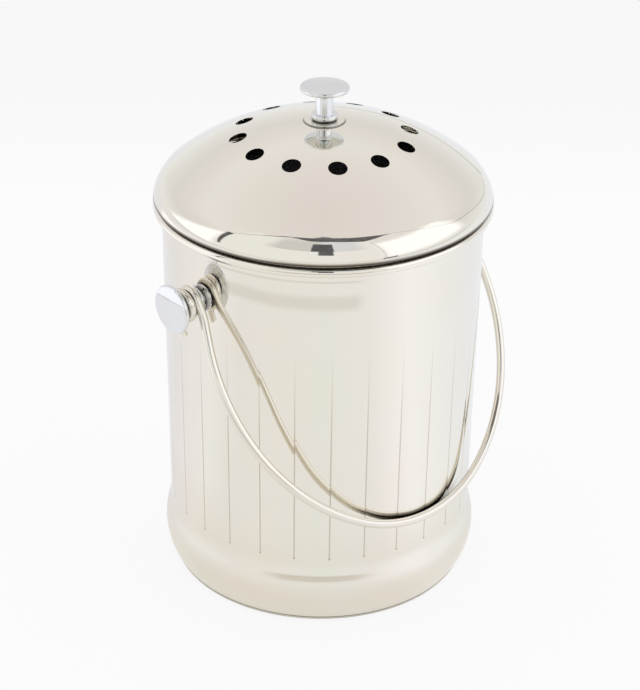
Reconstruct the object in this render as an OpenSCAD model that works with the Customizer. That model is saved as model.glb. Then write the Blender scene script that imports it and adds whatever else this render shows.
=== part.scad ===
// Compost caddy for the kitchen counter: a fluted sheet-steel pail with a
// swinging wire bail and a domed, vented lift-off lid that holds a filter.
// The pail stands on z = 0, its axis is +Z, and the bail turns about X.

/* [Pail] */
// Height of the rolled rim above the floor
rim_h = 217.6; // [170:0.2:270]
// Outside diameter of the wall just under the rim
mouth_d = 173; // [150:1:210]
// How much narrower the wall is just above the foot, across
wall_taper = 2.6; // [0:0.2:5]
// Thickness of the sheet steel
sheet_t = 0.7; // [0.5:0.1:0.8]
// Radius of the rolled rim
bead_r = 2.6; // [2.5:0.1:3.6]

/* [Foot] */
// Height at which the foot is widest
foot_belly_h = 18.4; // [14:0.2:22]
// How far the foot swells past the wall
foot_swell = 3.3; // [2:0.1:5]
// How far the foot draws in from its widest down to the floor
foot_tuck = 5.9; // [4:0.1:8]
// Radius of the hollow where the wall runs into the foot
foot_blend_r = 8; // [4:0.5:12]
// Height of the base disc above the floor
base_lift = 5; // [4:0.5:8]
// Thickness of the base disc and its standing lip
base_t = 1; // [0.8:0.1:1.5]

/* [Flutes] */
// Number of pressed flute lines round the wall
flutes = 28; // [20:1:36]
// Height of the lower end of each flute line
flute_low = 40.5; // [38:0.5:60]
// How far below the rim each flute line fades out
flute_drop = 45.6; // [43:0.2:100]
// Depth of a flute line at its lower end
flute_depth = 0.5; // [0.3:0.05:0.7]
// Depth that is left at its upper end
flute_end_depth = 0.06; // [0.04:0.01:0.12]
// Half of a flute line's width at its lower end
flute_half_w = 0.6; // [0.4:0.05:0.9]

/* [Lid] */
// Radius of the dome
dome_r = 135.2; // [125:1:160]
// Radius of the lid's shoulder
shoulder_r = 21.6; // [16:0.2:26]
// Height of the shoulder's centre below the lid's edge
shoulder_drop = 3.9; // [0:0.1:6]
// Lid edge radius less the wall radius under the rim
lid_overhang = 4.3; // [4:0.05:4.8]
// Height of the lid's edge above the rim
lid_gap = 1.6; // [1:0.1:2.4]
// Gap round the ring that locates the lid in the mouth
lid_ring_clear = 0.6; // [0.4:0.1:1.5]
// Depth of the locating ring below the rim
lid_ring_h = 13; // [11:0.5:20]
// Radius of the flat seat pressed under the lid's knob
seat_r = 10.8; // [9:0.1:14]
// Height of that seat above the dome's apex
seat_rise = 0.3; // [0.2:0.05:0.45]
// Thickness of the metal at the seat
seat_t = 1.2; // [1.1:0.1:1.6]

/* [Vents] */
// Number of vent holes
vents = 12; // [8:1:14]
// Diameter of a vent hole
vent_d = 10; // [7:0.5:12]
// Radius of the ring of vent holes
vent_ring_r = 45.7; // [36:0.5:55]
// Turn of the first vent hole from the front
vent_turn = -3.5; // [-15:0.5:15]

/* [Knobs] */
// Radius of the knob's disc
disc_r = 13.2; // [11.5:0.1:16]
// Thickness of the disc at its edge
disc_t = 2.6; // [2.4:0.1:4]
// Height of the crown on the disc's face
disc_crown = 0.4; // [0.2:0.1:0.8]
// Height of the cone under the disc
cone_h = 1.8; // [1.5:0.1:4]
// Radius of the neck
neck_r = 4.7; // [4:0.1:5.5]
// Radius of the collar
collar_r = 7.35; // [6.5:0.05:8.5]
// Height of the collar
collar_h = 3.6; // [3.4:0.1:5.5]
// Radius of the foot that seats on the sheet
knob_foot_r = 6.1; // [5.6:0.1:6.4]
// Depth of the side knobs' axis below the rim
pivot_drop = 33.6; // [27:0.2:40]

/* [Fixings] */
// Radius of the knob screws
screw_r = 2; // [1.5:0.1:2.2]
// Screw length inside the knob
screw_grip = 9; // [6:0.5:12]
// Radius of the screw heads
head_r = 4; // [3.2:0.1:4.6]
// Height of the screw heads
head_h = 2.4; // [1.8:0.1:3]
// Radius of the washers
washer_r = 5.5; // [4.8:0.1:6]
// Thickness of the washers
washer_t = 1; // [0.6:0.1:1.5]
// Clearance round a screw in sheet or washer
screw_clear = 0.3; // [0.2:0.05:0.5]

/* [Bail] */
// Radius of the bail's wire
wire_r = 2.35; // [2:0.05:2.6]
// Length of the straight part of each leg
leg_len = 11.5; // [4:0.5:40]
// How far the legs splay out from the eyes
bail_splay = 5.2; // [3:0.1:7]
// Crown radius less than the half width by
crown_less = 12.8; // [8:0.2:18]
// Side radius more than the half width by
side_more = 12.7; // [8:0.2:18]
// Radius of the bend where each leg enters its eye
eye_bend_r = 25; // [15:1:60]
// Clearance of the eye round the knob's neck
eye_clear = 0.3; // [0.25:0.05:0.5]
// Side clearance between the collar and the eye
eye_side_clear = 0.3; // [0.3:0.05:0.5]
// Gap between the two turns of an eye
turn_gap = 0.8; // [0.75:0.05:1]
// Length of the cut tail below each eye
tail_len = 15.5; // [10:0.5:20]
// Gap between the resting bail and the wall
rest_gap = 0.3; // [0.2:0.05:0.5]

/* [Filter] */
// Thickness of the filter pad
pad_t = 8; // [6:0.5:12]
// Height of the holder's rim
holder_h = 8; // [6:0.5:9]
// Wall thickness of the holder's rim
holder_t = 2; // [1.5:0.1:3]
// Thickness of the holder's grille
grille_t = 2.4; // [1.6:0.1:3.5]
// Width of the grille's bars
bar_w = 4; // [3:0.5:6]
// Number of spokes in the grille
spokes = 8; // [6:1:12]
// Clearance round the holder and round the pad
filter_clear = 0.3; // [0.2:0.05:0.6]

/* [Hidden] */
$fn = 96;

steel = [0.88, 0.86, 0.83];
chrome = [0.85, 0.87, 0.89];
wire_colour = [0.84, 0.82, 0.76];
zinc = [0.62, 0.64, 0.66];
black = [0.09, 0.09, 0.09];
charcoal = [0.16, 0.16, 0.17];

// Finish of small corners and bends
arc_tol = 0.02;
base_bend = 2;
collar_round = 0.8;
neck_round = 0.6;
head_round = 1;
pad_round = 1;

// Screws: clearance in the knob's thread and spare depth of its hole
thread_clear = 0.05;
hole_spare = 1;

// How far a cut runs on past the metal, and how far the vents' cuts reach each way
spare = 1;
vent_reach = 5;

// Clearance between the rim and the lid that rests on it
lid_rest = 0.2;

// Bail wire: the hair that its pieces stop short by
wire_hair = 0.01;

// Wall: a straight line in section, from above the foot to the rim
mouth_r = mouth_d / 2;
bead_z = rim_h - bead_r;
wall_low_r = mouth_r - wall_taper / 2;
wall_low_z = 2 * foot_belly_h;
wall_lean = atan2(mouth_r - wall_low_r, bead_z - wall_low_z);
wall_out = [cos(wall_lean), -sin(wall_lean)];
wall_up = [sin(wall_lean), cos(wall_lean)];
function wall_r(z) = wall_low_r + (z - wall_low_z) * tan(wall_lean);

// Foot: one belly arc, one hollow arc, tangent to each other and to the wall
belly_r = (foot_tuck * foot_tuck + foot_belly_h * foot_belly_h) / (2 * foot_tuck);
belly_c = [wall_low_r + foot_swell - belly_r, foot_belly_h];
blend_from = [wall_low_r, wall_low_z] + foot_blend_r * wall_out - belly_c;
blend_along = blend_from * wall_up;
blend_reach = belly_r + foot_blend_r;
blend_step = sqrt(blend_along * blend_along - blend_from * blend_from + blend_reach * blend_reach) - blend_along;
blend_c = belly_c + blend_from + blend_step * wall_up;
blend_aim = atan2(blend_c[1] - belly_c[1], blend_c[0] - belly_c[0]);

// Rim: the sheet curls outwards, and the curl's outside runs on from the wall's inside
wall_top = [mouth_r, bead_z];
pivot_h = rim_h - pivot_drop;
flute_high = rim_h - flute_drop;
bead_c = wall_top + (bead_r - sheet_t) * wall_out;
curl_end = -132;

// Lid: a dome arc and a shoulder arc, tangent to each other
lid_z = rim_h + lid_gap;
lid_r = mouth_r + lid_overhang;
shoulder_z = lid_z - shoulder_drop;
shoulder_x = lid_r - sqrt(shoulder_r * shoulder_r - shoulder_drop * shoulder_drop);
dome_z = shoulder_z - sqrt((dome_r - shoulder_r) * (dome_r - shoulder_r) - shoulder_x * shoulder_x);
dome_join = atan2(shoulder_z - dome_z, shoulder_x);
apex_z = dome_z + dome_r;
seat_z = apex_z + seat_rise;
ring_r = mouth_r - sheet_t - lid_ring_clear;

// Knob heights, from the face that it seats on
neck_len = 4 * wire_r + turn_gap + 2 * eye_side_clear;
cone_z = collar_h + neck_len;
disc_z = cone_z + cone_h;
knob_h = disc_z + disc_t + disc_crown;
cone_slope = atan2(cone_h, disc_r - disc_t / 2 - neck_r - neck_round);
pivot_wall = wall_r(pivot_h);
knob_root = pivot_wall - sqrt(pow(pivot_wall, 2) - pow(knob_foot_r, 2)) + 0.1;
washer_x = sqrt(pow(pivot_wall - sheet_t, 2) - pow(washer_r, 2));

// Bail, in a frame with the pivot axis on X and the legs hanging down
eye_r = neck_r + eye_clear + wire_r;
eye_x = pivot_wall + collar_h + eye_side_clear + wire_r;
turn_pitch = 2 * wire_r + turn_gap;
bail_w = eye_x + bail_splay;
crown_r = bail_w - crown_less;
side_r = bail_w + side_more;
side_x = bail_w - side_r;
bend_sum = side_r + eye_bend_r;
leg_across = bend_sum - bail_splay;
leg_up = sqrt(leg_len * leg_len + bend_sum * bend_sum - leg_across * leg_across);
leg_angle = asin(bend_sum / norm([leg_up, leg_across])) - atan2(leg_across, leg_up);
eye_drop = eye_r;
side_z = -leg_up - eye_drop;
crown_z = side_z - sqrt(pow(side_r - crown_r, 2) - side_x * side_x);
side_join = atan2(crown_z - side_z, -side_x);

// Least gap between the wire's passes round an eye, measured on points along its middle
eye_path = concat(
    [for (i = [-8:-1]) [0, -eye_r, i]],
    [for (a = [180:-10:0]) [0, eye_r * cos(a), eye_r * sin(a)]],
    [for (a = [10:10:170]) [turn_pitch * (1 - cos(a)) / 2, eye_r * cos(a), -eye_r * sin(a)]],
    [for (a = [180:-10:0]) [turn_pitch, eye_r * cos(a), eye_r * sin(a)]],
    [for (i = [1:8]) [turn_pitch, eye_r, -i]]
);
eye_gaps = [
    for (i = [0:len(eye_path) - 9])
    for (j = [i + 8:len(eye_path) - 1])
    norm(eye_path[i] - eye_path[j])
];
echo(eye_gap = min(eye_gaps) - 2 * wire_r);

// Lean at which the crown first meets the wall; side is 1 at the front and -1 at the back
function crown_point(a) = [crown_r * cos(a), -crown_z - crown_r * sin(a)];
function gap_at(lean, side, p) =
    norm([p[0], p[1] * sin(lean) + side * eye_r * cos(lean)])
    - wall_r(pivot_h - p[1] * cos(lean) + side * eye_r * sin(lean)) - wire_r;
function least_gap(lean, side) = min([for (a = [-90:2:-30]) gap_at(lean, side, crown_point(a))]);
function rest_lean(side, low = 5, high = 85, left = 40) =
    left == 0 ? high
    : let (mid = (low + high) / 2)
      least_gap(mid, side) < rest_gap
      ? rest_lean(side, mid, high, left - 1)
      : rest_lean(side, low, mid, left - 1);
front_lean = rest_lean(1);
back_lean = rest_lean(-1);
echo(bail_range_deg = 360 - front_lean - back_lean, front_lean = front_lean, bail_drop = crown_r - crown_z, knob_top = seat_z + knob_h);

// Filter holder and pad, inside the lid's locating ring
holder_r = ring_r - sheet_t - filter_clear;
holder_z = lid_z - holder_h;
pad_r = holder_r - holder_t - filter_clear;
hub_r = 12;
mid_ring_r = (pad_r + hub_r) / 2;

// Points along an arc, close enough together that no chord strays from it by more than arc_tol
function arc(c, r, a0, a1) =
    let (n = max(2, ceil(abs(a1 - a0) / (2 * acos(1 - arc_tol / r)))))
    [for (i = [0:n]) let (a = a0 + (a1 - a0) * i / n) c + r * [cos(a), sin(a)]];

// Section of the pail's sheet from the standing lip up to the curled rim
module pail_section() {
    wall_aim = 180 - wall_lean;
    belly_in = belly_r - sheet_t;
    curl_in = bead_r - sheet_t;
    polygon(concat(
        arc(belly_c, belly_r, asin((base_t - belly_c[1]) / belly_r), blend_aim),
        arc(blend_c, foot_blend_r, 180 + blend_aim, wall_aim),
        arc(bead_c, curl_in, wall_aim, curl_end),
        arc(bead_c, bead_r, curl_end, wall_aim),
        arc(blend_c, foot_blend_r + sheet_t, wall_aim, 180 + blend_aim),
        arc(belly_c, belly_in, blend_aim, asin((base_t - belly_c[1]) / belly_in))
    ));
}

// One V along the wall: its apex goes in by depth at the lower end and is all but flush at the upper
module flute_tool(depth, half_w, inset, outset) {
    slope = half_w / depth;
    run = flute_high - flute_low;
    fade = atan2(wall_r(flute_high) - wall_r(flute_low) + depth - flute_end_depth, run);
    apex = depth + inset;
    translate([0, -wall_r(flute_low) + depth, flute_low])
    rotate([fade, 0, 0])
    linear_extrude(height = run / cos(fade))
    polygon([[0, inset], [(apex + outset) * slope, -depth - outset], [-(apex + outset) * slope, -depth - outset]]);
}

module round_the_wall() {
    for (i = [0:flutes - 1]) {
        rotate([0, 0, i * 360 / flutes]) children();
    }
}

// Solid out to the wall's outer face, used to trim what is pressed or seated against it
module wall_core(grow = 0) {
    translate([0, 0, wall_low_z])
    cylinder(h = bead_z - wall_low_z, r1 = wall_low_r + grow, r2 = mouth_r + grow);
}

module pail_body() {
    ridge_inset = sheet_t * norm([flute_depth, flute_half_w]) / flute_half_w;
    color(steel)
    difference() {
        union() {
            rotate_extrude() pail_section();
            intersection() {
                wall_core(-sheet_t / 2);
                union() {
                    round_the_wall() flute_tool(flute_depth, flute_half_w, ridge_inset, 0);
                }
            }
        }
        round_the_wall() flute_tool(flute_depth, flute_half_w, 0, spare);
        translate([0, 0, pivot_h])
        rotate([0, 90, 0])
        cylinder(h = 2 * (mouth_r + spare), r = screw_r + screw_clear, center = true);
    }
}

// Recessed base disc with a skirt that ends in the lip the pail stands on
module base_plate() {
    lip_r = belly_c[0] + sqrt(pow(belly_r, 2) - pow(belly_c[1] - base_t, 2));
    skirt_r = belly_c[0] + sqrt(pow(belly_r - sheet_t, 2) - pow(belly_c[1] - base_t, 2));
    corner = [skirt_r - base_bend, base_lift + base_t - base_bend];
    color(steel)
    rotate_extrude()
    polygon(concat(
        [[0, base_lift]],
        arc(corner, base_bend - base_t, 90, 0),
        [[skirt_r - base_t, 0], [lip_r, 0], [lip_r, base_t], [skirt_r, base_t]],
        arc(corner, base_bend, 0, 90),
        [[0, base_lift + base_t]]
    ));
}

// Knob on the XY plane with its blind screw hole; its foot reaches down by root below the plane
module knob(root) {
    edge = disc_t / 2;
    face_z = disc_z + disc_t;
    crown_round = (pow(disc_r - edge, 2) + pow(disc_crown, 2)) / (2 * disc_crown);
    crown_half = asin((disc_r - edge) / crown_round);
    difference() {
        rotate_extrude()
        polygon(concat(
            [[0, -root], [knob_foot_r, -root], [knob_foot_r, 0], [collar_r, collar_h / 2]],
            arc([collar_r - collar_round, collar_h - collar_round], collar_round, 0, 90),
            arc([neck_r + neck_round, collar_h + neck_round], neck_round, 270, 180),
            arc([neck_r + neck_round, cone_z - neck_round], neck_round, 180, 90 + cone_slope),
            arc([disc_r - edge, disc_z + edge], edge, -90 + cone_slope, 90),
            arc([0, face_z + disc_crown - crown_round], crown_round, 90 - crown_half, 90)
        ));
        translate([0, 0, -root - spare]) cylinder(h = screw_grip + hole_spare + root + spare, r = screw_r + thread_clear);
    }
}

// Pan-head screw that enters a knob's seat from below; between is the thickness that it clamps
module knob_screw(between) {
    cylinder(h = between + screw_grip, r = screw_r);
    rotate_extrude()
    polygon(concat(
        [[0, -head_h]],
        arc([head_r - head_round, head_round - head_h], head_round, -90, 0),
        [[head_r, 0], [0, 0]]
    ));
}

// Stands a knob, screw or washer drawn along +Z out of the wall at +X, or at -X if side is -1
module at_side(side) {
    mirror([side < 0 ? 1 : 0, 0, 0])
    translate([0, 0, pivot_h])
    rotate([0, 90, 0])
    children();
}

module side_knob(side) {
    color(chrome)
    difference() {
        at_side(side) translate([0, 0, pivot_wall]) knob(knob_root);
        wall_core();
    }
}

module washer() {
    difference() {
        cylinder(h = washer_t, r = washer_r);
        translate([0, 0, -spare]) cylinder(h = washer_t + 2 * spare, r = screw_r + screw_clear);
    }
}

module side_washer(side) {
    color(zinc) at_side(side) translate([0, 0, washer_x - washer_t]) washer();
}

module side_screw(side) {
    color(zinc)
    at_side(side)
    translate([0, 0, washer_x - washer_t])
    knob_screw(pivot_wall - washer_x + washer_t);
}

// Wire bent on an arc in the XY plane about the origin. Each piece of wire stops a
// hair short of the next, inside a ball a hair thicker than the wire that joins them.
module wire_bend(r, a0, sweep) {
    trim = wire_hair / r * 180 / PI;
    rotate([0, 0, a0 + trim])
    rotate_extrude(angle = sweep - 2 * trim)
    translate([r, 0]) circle(r = wire_r);
}

module wire_run(len, end_trim = wire_hair) {
    translate([0, 0, wire_hair]) cylinder(h = len - wire_hair - end_trim, r = wire_r);
}

module wire_joint() {
    sphere(r = wire_r + 2 * wire_hair);
}

// Turns what is drawn along +Z into the plane of the bail, aimed up and leaning in by lean
module along_leg(lean) {
    rotate([-90, 0, lean]) children();
}

// One leg with its side arc, in the plane of the bail, drawn as XY
module bail_leg() {
    leg_start = [side_x, side_z] + side_r * [cos(leg_angle), sin(leg_angle)];
    leg_end = leg_start + leg_len * [-sin(leg_angle), cos(leg_angle)];
    translate(crown_r * [cos(side_join), sin(side_join)] + [0, crown_z]) along_leg(side_join) wire_joint();
    translate([side_x, side_z]) wire_bend(side_r, side_join, leg_angle - side_join);
    translate(leg_start) along_leg(leg_angle) wire_joint();
    translate(leg_start) along_leg(leg_angle) wire_run(leg_len);
    translate(leg_end) along_leg(leg_angle) wire_joint();
    translate([eye_x + eye_bend_r, -eye_drop]) wire_bend(eye_bend_r, 180, leg_angle);
    translate([eye_x, -eye_drop]) along_leg(0) wire_joint();
    translate([eye_x, -eye_drop]) along_leg(0) wire_run(eye_drop);
}

// Eye: over the neck, under it on a slant, over it again, and the cut tail
module bail_eye() {
    slant = atan2(turn_pitch / 2, eye_r);
    for (turn = [0:1]) {
        translate([eye_x + turn * turn_pitch, 0, 0]) {
            rotate([90, 0, 90]) wire_bend(eye_r, 0, 180);
            translate([0, -eye_r, 0]) wire_joint();
            translate([0, eye_r, 0]) wire_joint();
        }
    }
    translate([eye_x + turn_pitch / 2, 0, 0])
    rotate([0, 0, slant])
    rotate([90, 0, 90])
    wire_bend(eye_r / cos(slant), 180, 180);
    translate([eye_x + turn_pitch, eye_r, 0]) rotate([180, 0, 0]) wire_run(tail_len, 0);
}

module bail_half() {
    translate([0, -eye_r, 0]) rotate([90, 0, 0]) bail_leg();
    bail_eye();
}

module bail_handle() {
    color(wire_colour)
    translate([0, 0, pivot_h])
    rotate([-front_lean, 0, 0])
    union() {
        translate([0, -eye_r, 0])
        rotate([90, 0, 0])
        translate([0, crown_z])
        wire_bend(crown_r, -180 - side_join, 180 + 2 * side_join);
        bail_half();
        mirror([1, 0, 0]) bail_half();
    }
}

// Section of the lid's sheet from the knob's seat out over the dome and down to its edge
module lid_section() {
    shoulder_c = [shoulder_x, shoulder_z];
    shoulder_in = shoulder_r - sheet_t;
    dome_in = dome_r - sheet_t;
    polygon(concat(
        [[0, seat_z], [seat_r, seat_z]],
        arc([0, dome_z], dome_r, acos(seat_r / dome_r), dome_join),
        arc(shoulder_c, shoulder_r, dome_join, asin(shoulder_drop / shoulder_r)),
        arc(shoulder_c, shoulder_in, asin(shoulder_drop / shoulder_in), dome_join),
        arc([0, dome_z], dome_in, dome_join, asin((seat_z - seat_t - dome_z) / dome_in)),
        [[0, seat_z - seat_t]]
    ));
}

module lid_dome() {
    vent_lean = asin(vent_ring_r / dome_r);
    color(steel)
    difference() {
        rotate_extrude() lid_section();
        for (i = [0:vents - 1]) {
            translate([0, 0, dome_z])
            rotate([0, 0, vent_turn + i * 360 / vents])
            rotate([vent_lean, 0, 0])
            translate([0, 0, dome_r - vent_reach])
            cylinder(h = 2 * vent_reach, d = vent_d);
        }
        translate([0, 0, seat_z - seat_t - spare]) cylinder(h = seat_t + 2 * spare, r = screw_r + screw_clear);
    }
}

// Ring inside the lid: its stepped flange lies on the rim and its skirt drops into the mouth
module lid_collar() {
    step_z = rim_h + lid_rest;
    step_r = bead_c[0];
    inner = shoulder_r - sheet_t;
    low = asin(shoulder_drop / inner);
    high = asin((shoulder_drop + sheet_t) / inner);
    color(steel)
    rotate_extrude()
    polygon(concat(
        [[ring_r - sheet_t, lid_z - lid_ring_h], [ring_r, lid_z - lid_ring_h], [ring_r, step_z]],
        [[step_r, step_z], [step_r, lid_z]],
        [[shoulder_x, shoulder_z] + inner * [cos(low), sin(low)], [shoulder_x, shoulder_z] + inner * [cos(high), sin(high)]],
        [[step_r - sheet_t, lid_z + sheet_t], [step_r - sheet_t, step_z + sheet_t]],
        [[ring_r - sheet_t, step_z + sheet_t]]
    ));
}

module lid_knob() {
    color(chrome) translate([0, 0, seat_z]) knob(0);
}

module lid_knob_washer() {
    color(zinc) translate([0, 0, seat_z - seat_t - washer_t]) washer();
}

module lid_knob_screw() {
    color(zinc)
    translate([0, 0, seat_z - seat_t - washer_t])
    knob_screw(seat_t + washer_t);
}

module flat_ring(outer, inner, h) {
    difference() {
        cylinder(h = h, r = outer);
        translate([0, 0, -spare]) cylinder(h = h + 2 * spare, r = inner);
    }
}

module filter_holder() {
    rim_in = holder_r - holder_t;
    color(black)
    translate([0, 0, holder_z])
    union() {
        flat_ring(holder_r, rim_in, holder_h);
        flat_ring(rim_in + holder_t / 2, rim_in - bar_w, grille_t);
        flat_ring(mid_ring_r + bar_w / 2, mid_ring_r - bar_w / 2, grille_t);
        cylinder(h = grille_t, r = hub_r);
        for (i = [0:spokes - 1]) {
            rotate([0, 0, i * 360 / spokes])
            translate([0, -bar_w / 2, 0])
            cube([rim_in, bar_w, grille_t]);
        }
    }
}

module charcoal_filter() {
    color(charcoal)
    translate([0, 0, holder_z + grille_t])
    rotate_extrude()
    polygon(concat(
        [[0, 0]],
        arc([pad_r - pad_round, pad_round], pad_round, -90, 0),
        arc([pad_r - pad_round, pad_t - pad_round], pad_round, 0, 90),
        [[0, pad_t]]
    ));
}

pail_body();
base_plate();
side_knob(-1);  // left_side_knob
side_knob(1);  // right_side_knob
side_screw(-1);  // left_knob_screw
side_screw(1);  // right_knob_screw
side_washer(-1);  // left_knob_washer
side_washer(1);  // right_knob_washer
bail_handle();
lid_dome();
lid_collar();
lid_knob();
lid_knob_screw();
lid_knob_washer();
filter_holder();
charcoal_filter();
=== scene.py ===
"""Compost pail in polished sheet steel: the finished look built round its solids.

The settings give sizes in millimetres; everything else is in metres, in the pail's own
frame: Z up the pail's axis, X along the bail's pivot, -Y towards the side where the bail
rests.
"""

import math

import bmesh
import bpy
import numpy as np
from mathutils import Matrix, Vector


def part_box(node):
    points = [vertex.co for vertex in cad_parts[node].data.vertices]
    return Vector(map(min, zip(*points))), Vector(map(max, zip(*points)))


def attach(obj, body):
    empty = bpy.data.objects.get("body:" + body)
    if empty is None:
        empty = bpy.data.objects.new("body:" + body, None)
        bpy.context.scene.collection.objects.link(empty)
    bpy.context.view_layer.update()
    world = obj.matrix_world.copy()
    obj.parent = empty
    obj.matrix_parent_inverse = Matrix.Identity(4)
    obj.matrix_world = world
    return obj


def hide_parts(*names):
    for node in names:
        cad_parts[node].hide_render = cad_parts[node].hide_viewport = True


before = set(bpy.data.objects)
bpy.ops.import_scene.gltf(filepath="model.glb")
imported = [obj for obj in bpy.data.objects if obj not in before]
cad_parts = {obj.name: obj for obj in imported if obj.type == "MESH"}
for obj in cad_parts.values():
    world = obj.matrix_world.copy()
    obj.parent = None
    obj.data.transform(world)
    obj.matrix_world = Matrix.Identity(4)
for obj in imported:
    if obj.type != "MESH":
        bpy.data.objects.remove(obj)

bl_info = {
    "name": "Compost Pail",
    "version": (1, 0, 0),
    "blender": (4, 5, 0),
    "location": "3D View > Sidebar > Compost Pail",
    "description": "Builds a polished steel compost pail with its bail, vented lid and filter",
    "category": "Add Mesh",
}

MM = 0.001
PANEL_CATEGORY = "Compost Pail"


# ---------------------------------------------------------------- settings


def length(name, text, value):
    """A size that a user may change, given here in millimetres."""
    return bpy.props.FloatProperty(
        name=name, description=text, default=value * MM, min=0.0, unit="LENGTH", precision=5
    )


def colour(name, text, value):
    """A colour that a user may change."""
    return bpy.props.FloatVectorProperty(
        name=name, description=text, default=value, size=3, min=0.0, max=1.0, subtype="COLOR"
    )


def degrees(name, text, value):
    """An angle, given here in degrees."""
    return bpy.props.FloatProperty(
        name=name, description=text, default=math.radians(value), subtype="ANGLE"
    )


class PailSizes(bpy.types.PropertyGroup):
    """Sizes of the pail's sheet, foot and rim"""

    rim_height: length("Rim height", "Top of the rolled rim above the floor", 217.6)
    mouth_radius: length("Mouth radius", "Outside radius of the wall under the rim", 86.5)
    wall_taper: length("Wall taper", "How much smaller the wall's radius is at the foot", 1.3)
    sheet: length("Sheet", "Thickness of the sheet steel", 0.7)
    bead_radius: length("Bead radius", "Radius of the rolled rim", 2.6)
    belly_height: length("Belly height", "Height at which the foot is widest", 18.4)
    swell: length("Swell", "How far the foot swells past the wall", 3.3)
    tuck: length("Tuck", "How far the foot draws in down to the floor", 5.9)
    blend_radius: length("Blend radius", "Hollow where the wall runs into the foot", 26)
    base_gap: length("Base gap", "Where the wall ends above the floor", 1)


class FluteSizes(bpy.types.PropertyGroup):
    """Sizes of the pressed flute lines and the panels between them"""

    count: bpy.props.IntProperty(
        name="Count", description="Flute lines round the wall", default=28, min=3
    )
    low: length("Low end", "Height of the lower end of each line", 40.5)
    high: length("High end", "Height at which each line fades out", 172)
    bulge: length("Bulge", "How far a panel's middle stands out past its sides", 0.2)
    line_depth: length("Line depth", "Depth of a line at its lower end", 0.03)
    line_half: length("Line half width", "Half of a line's width", 0.7)


class LidSizes(bpy.types.PropertyGroup):
    """Sizes of the domed lid"""

    edge_height: length("Edge height", "Height of the lid's edge", 219.2)
    edge_radius: length("Edge radius", "Radius of the lid's edge", 90.8)
    dome_radius: length("Dome radius", "Radius of the dome", 135.2)
    shoulder_radius: length("Shoulder radius", "Radius of the lid's shoulder", 21.6)
    shoulder_drop: length("Shoulder drop", "Shoulder's centre below the lid's edge", 3.9)
    seat_radius: length("Seat radius", "Radius of the flat seat under the knob", 10.8)
    seat_rise: length("Seat rise", "Height of the seat above the dome", 0.3)
    seat_sheet: length("Seat sheet", "Thickness of the metal at the seat", 1.2)
    vents: bpy.props.IntProperty(name="Vents", description="Number of vents", default=12, min=1)
    vent_radius: length("Vent radius", "Radius of one vent", 5)
    vent_ring: length("Vent ring", "Radius of the ring of vents", 45.7)
    vent_turn: degrees("Vent turn", "Turn of the first vent from the front", -3.5)


class KnobSizes(bpy.types.PropertyGroup):
    """Sizes of the turned knobs, measured from the face that they seat on"""

    pivot_height: length("Pivot height", "Height of the side knobs' axis", 184)
    foot_radius: length("Foot radius", "Radius where the knob meets the sheet", 6.1)
    collar_radius: length("Collar radius", "Radius of the collar", 7.35)
    collar_height: length("Collar height", "Height of the collar", 3.6)
    neck_radius: length("Neck radius", "Radius of the neck", 4.7)
    neck_length: length("Neck length", "Length of the neck", 10.8)
    cone_height: length("Cone height", "Height of the cone under the disc", 1.8)
    disc_radius: length("Disc radius", "Radius of the disc", 13.2)
    disc_edge: length("Disc edge", "Thickness of the disc at its edge", 2.6)
    crown: length("Crown", "How far the disc's face is crowned", 0.4)


class BailSizes(bpy.types.PropertyGroup):
    """Sizes of the wire bail"""

    wire_radius: length("Wire radius", "Radius of the wire", 2.35)
    leg_length: length("Leg length", "Straight part of each leg", 11.5)
    splay: length("Splay", "How far the legs splay out from the eyes", 5.2)
    crown_less: length("Crown less", "Crown radius less than the half width by", 12.8)
    side_more: length("Side more", "Side radius more than the half width by", 12.7)
    eye_bend: length("Eye bend", "Bend where each leg enters its eye", 25)
    eye_clear: length("Eye clearance", "Gap between the eye and the knob's neck", 0.3)
    turn_gap: length("Turn gap", "Gap between the two turns of an eye", 0.8)
    side_clear: length("Side clearance", "Gap between the collar and the eye", 0.3)
    tail: length("Tail", "Length of the cut tail below each eye", 15.5)
    lean: degrees("Lean", "Lean at which the bail rests on the wall", 32.2463)


class FinishColours(bpy.types.PropertyGroup):
    """Colours of the finishes"""

    steel: colour("Steel", "Polished sheet steel", (0.865, 0.84, 0.775))
    wire: colour("Wire", "Drawn steel wire", (0.82, 0.797, 0.735))
    chrome: colour("Chrome", "Chromed knobs", (0.80, 0.82, 0.845))
    zinc: colour("Zinc", "Zinc-plated screws and washers", (0.56, 0.57, 0.58))
    plastic: colour("Plastic", "Filter holder", (0.022, 0.022, 0.024))
    charcoal: colour("Charcoal", "Charcoal felt", (0.03, 0.03, 0.034))
    table: colour("Table", "Table and backdrop", (0.985, 0.98, 0.985))


class StageSettings(bpy.types.PropertyGroup):
    """Camera and light"""

    lens: bpy.props.FloatProperty(
        name="Lens", description="Focal length on a 36 mm sensor", default=102.39, unit="CAMERA"
    )
    distance: length("Distance", "Camera's level distance from the pail's axis", 959.1)
    height: length("Height", "Camera's height above the floor", 649.0)
    azimuth: degrees("Azimuth", "Camera's turn from the front", -42.5)
    pitch: degrees("Pitch", "How far the camera looks down", 28.596)
    yaw: degrees("Yaw", "How far the camera looks right of the axis", -0.045)
    roll: degrees("Roll", "Camera's roll", 0.753)


class PailSettings(bpy.types.PropertyGroup):
    """All settings of the compost pail"""

    pail: bpy.props.PointerProperty(type=PailSizes)
    flutes: bpy.props.PointerProperty(type=FluteSizes)
    lid: bpy.props.PointerProperty(type=LidSizes)
    knob: bpy.props.PointerProperty(type=KnobSizes)
    bail: bpy.props.PointerProperty(type=BailSizes)
    finish: bpy.props.PointerProperty(type=FinishColours)
    stage: bpy.props.PointerProperty(type=StageSettings)


# ---------------------------------------------------------------- mesh helpers


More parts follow.
